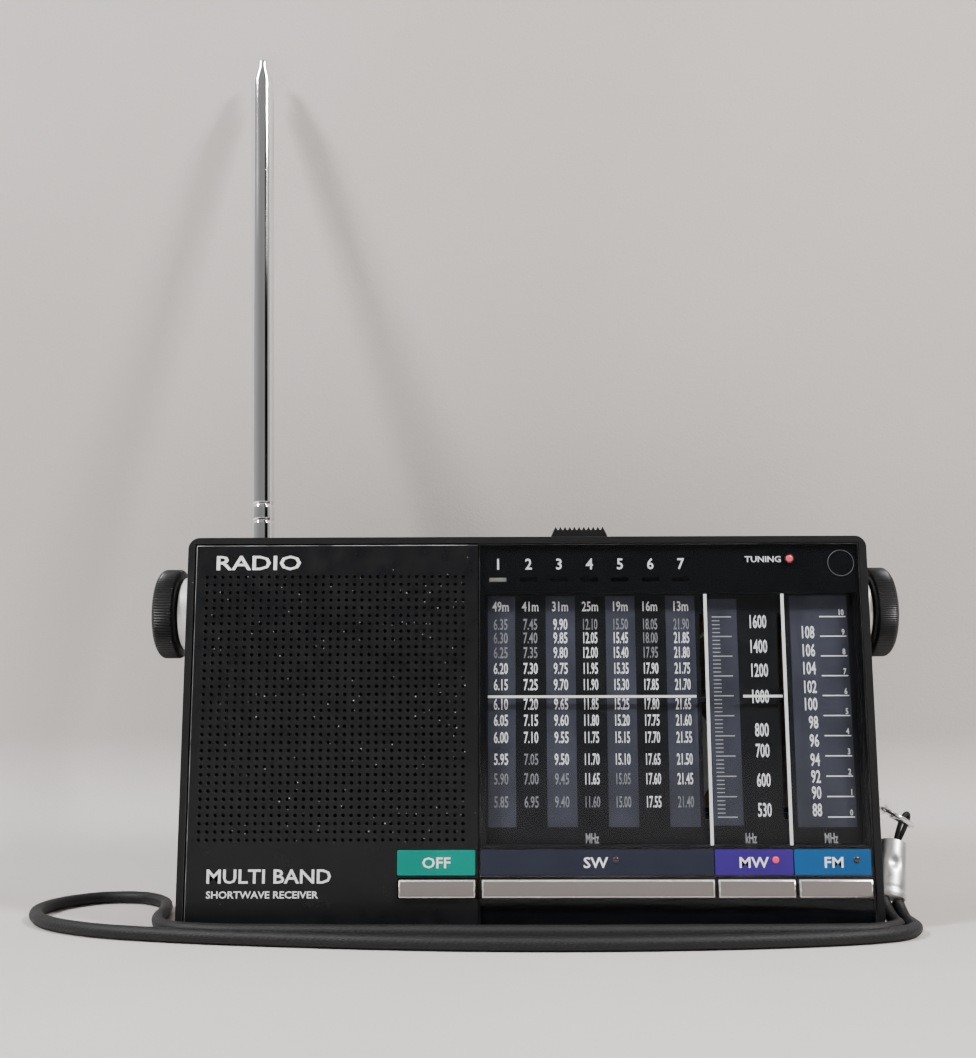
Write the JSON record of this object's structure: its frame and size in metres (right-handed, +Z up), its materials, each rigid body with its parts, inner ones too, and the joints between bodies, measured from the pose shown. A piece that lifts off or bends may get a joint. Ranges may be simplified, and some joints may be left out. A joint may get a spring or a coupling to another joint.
{
  "type": "pocket shortwave receiver",
  "caption": "Pocket multi-band radio: black case with dial and grille, side knobs, push buttons, band slide, telescopic antenna that swivels and folds, and a wrist strap.",
  "frame": {"origin": "middle of the base, in the plane that the two knobs' axes share", "axes": "+Z up, the dial faces -Y, +X to the right of someone who looks at the dial"},
  "size_m": [0.1588, 0.0511, 0.1701],
  "materials": {
    "case_plastic": "fine-grained black moulding",
    "panel_black": "satin black paint",
    "panel_gloss": "glossy black print",
    "window_clear": "clear acrylic",
    "dial_print": "printed dial plate",
    "label_teal": "printed strip, satin",
    "label_bands": "printed strip, satin",
    "lamp": "tinted lens",
    "key_grey": "satin grey with a bright edge",
    "knob_black": "knurled black",
    "bright_metal": "bright plating",
    "tube_chrome": "polished tube",
    "ferrule_metal": "satin plated",
    "white_plastic": "white moulding",
    "board_brown": "phenolic board",
    "inner_black": "moulded",
    "steel": "plain",
    "paper_black": "pressed paper",
    "ferrite": "sintered ferrite",
    "cell_wrap": "wrapped cell",
    "cord_thread": "waxed thread",
    "strap_black": "braided black cord"
  },
  "bodies": {
    "cabinet": {"front_cabinet": "case_plastic", "rear_cabinet": "case_plastic", "side_plate": "case_plastic", "case_screw_1": "steel", "case_screw_2": "steel", "case_screw_3": "steel", "grille_plate": "panel_black", "dial_window": "window_clear", "dial_mask": "panel_gloss", "scale_plate": "dial_print", "label_strip_off": "label_teal", "label_strip_bands": "label_bands", "led_sw": "lamp", "led_mw": "lamp", "led_fm": "lamp", "led_tuning": "lamp", "key_board": "board_brown", "main_board": "board_brown", "key_switch_off": "inner_black", "key_switch_sw": "inner_black", "key_switch_mw": "inner_black", "key_switch_fm": "inner_black", "speaker_frame": "steel", "speaker_cone": "paper_black", "tuning_capacitor": "inner_black", "volume_pot": "steel", "band_switch": "steel", "ferrite_rod": "ferrite", "dial_cord": "cord_thread", "earphone_jack": "inner_black", "battery_cell_right": "cell_wrap", "battery_cell_left": "cell_wrap", "battery_contact": "steel", "battery_spring": "steel", "strap_lug": "bright_metal", "strap_ring": "bright_metal", "strap_ferrule": "ferrule_metal", "strap_cord": "strap_black"},
    "tuning": {"tuning_knob": "knob_black", "tuning_ring": "bright_metal", "tuning_spindle": "steel"},
    "drum": {"tuning_drum": "white_plastic"},
    "upper_idler": {"idler_upper": "white_plastic"},
    "lower_idler": {"idler_lower": "white_plastic"},
    "pointer": {"dial_pointer": "white_plastic"},
    "selector": {"band_slider": "knob_black"},
    "volume": {"volume_knob": "knob_black", "volume_ring": "bright_metal"},
    "key_off": {"button_off": "key_grey"},
    "key_sw": {"button_sw": "key_grey"},
    "key_mw": {"button_mw": "key_grey"},
    "key_fm": {"button_fm": "key_grey"},
    "cover": {"battery_cover": "case_plastic"},
    "swivel": {"antenna_base": "tube_chrome", "antenna_pin": "steel"},
    "antenna_1": {"antenna_section_1": "tube_chrome"},
    "antenna_2": {"antenna_section_2": "tube_chrome"},
    "antenna_3": {"antenna_section_3": "tube_chrome"},
    "antenna_4": {"antenna_section_4": "tube_chrome"},
    "antenna_5": {"antenna_section_5": "tube_chrome"}
  },
  "joints": [
    {"name": "tuning_turn", "type": "hinge", "parent": "cabinet", "child": "tuning", "pos_m": [0.0615, 0, 0.0546], "axis": [1, 0, 0], "range_deg": [-228, 335]},
    {"name": "pointer_slide", "type": "slide", "parent": "cabinet", "child": "pointer", "axis": [0, 0, 1], "range_m": [-0.0205, 0.01396]},
    {"name": "drum_turn", "type": "hinge", "parent": "cabinet", "child": "drum", "pos_m": [0.022, -0.0035, 0.029], "axis": [0, 1, 0], "range_deg": [-73.2, 107.4]},
    {"name": "upper_idler_turn", "type": "hinge", "parent": "cabinet", "child": "upper_idler", "pos_m": [0.0495, -0.0035, 0.0605], "axis": [0, 1, 0], "range_deg": [-320, 470]},
    {"name": "lower_idler_turn", "type": "hinge", "parent": "cabinet", "child": "lower_idler", "pos_m": [0.0495, -0.0035, 0.0164], "axis": [0, 1, 0], "range_deg": [-320, 470]},
    {"name": "band_slide", "type": "slide", "parent": "cabinet", "child": "selector", "axis": [1, 0, 0], "range_m": [0, 0.0321]},
    {"name": "volume_turn", "type": "hinge", "parent": "cabinet", "child": "volume", "pos_m": [-0.0615, 0, 0.0546], "axis": [1, 0, 0], "range_deg": [-110, 190]},
    {"name": "button_off_press", "type": "slide", "parent": "cabinet", "child": "key_off", "axis": [0, 1, 0], "range_m": [0, 0.0007], "stiffness_N_per_m": 600, "springref_m": -0.0004},
    {"name": "button_sw_press", "type": "slide", "parent": "cabinet", "child": "key_sw", "axis": [0, 1, 0], "range_m": [0, 0.0007], "stiffness_N_per_m": 600, "springref_m": -0.0004},
    {"name": "button_mw_press", "type": "slide", "parent": "cabinet", "child": "key_mw", "axis": [0, 1, 0], "range_m": [0, 0.0007], "stiffness_N_per_m": 600, "springref_m": -0.0004},
    {"name": "button_fm_press", "type": "slide", "parent": "cabinet", "child": "key_fm", "axis": [0, 1, 0], "range_m": [0, 0.0007], "stiffness_N_per_m": 600, "springref_m": -0.0004},
    {"name": "cover_slide", "type": "slide", "parent": "cabinet", "child": "cover", "axis": [-1, 0, 0], "range_m": [0, 0.112]},
    {"name": "antenna_swivel", "type": "hinge", "parent": "cabinet", "child": "swivel", "pos_m": [-0.0505, 0.0092, 0.0618], "axis": [0, 0, 1], "range_deg": [-180, 180]},
    {"name": "antenna_fold", "type": "hinge", "parent": "swivel", "child": "antenna_1", "pos_m": [-0.0505, 0.0092, 0.0636], "axis": [0, 1, 0], "range_deg": [0, 91.5]},
    {"name": "antenna_slide_2", "type": "slide", "parent": "antenna_1", "child": "antenna_2", "axis": [-0.0262, 0, 0.9997], "range_m": [0, 0.08]},
    {"name": "antenna_slide_3", "type": "slide", "parent": "antenna_2", "child": "antenna_3", "axis": [-0.0262, 0, 0.9997], "range_m": [0, 0.08]},
    {"name": "antenna_slide_4", "type": "slide", "parent": "antenna_3", "child": "antenna_4", "axis": [-0.0262, 0, 0.9997], "range_m": [0, 0.08]},
    {"name": "antenna_slide_5", "type": "slide", "parent": "antenna_4", "child": "antenna_5", "axis": [-0.0262, 0, 0.9997], "range_m": [0, 0.08]}
  ],
  "couplings": [
    {"joint": "pointer_slide", "follows": "tuning_turn", "m_per_rad": -0.0035},
    {"joint": "drum_turn", "follows": "tuning_turn", "ratio": 0.31964},
    {"joint": "upper_idler_turn", "follows": "tuning_turn", "ratio": 1.4},
    {"joint": "lower_idler_turn", "follows": "tuning_turn", "ratio": 1.4}
  ]
}
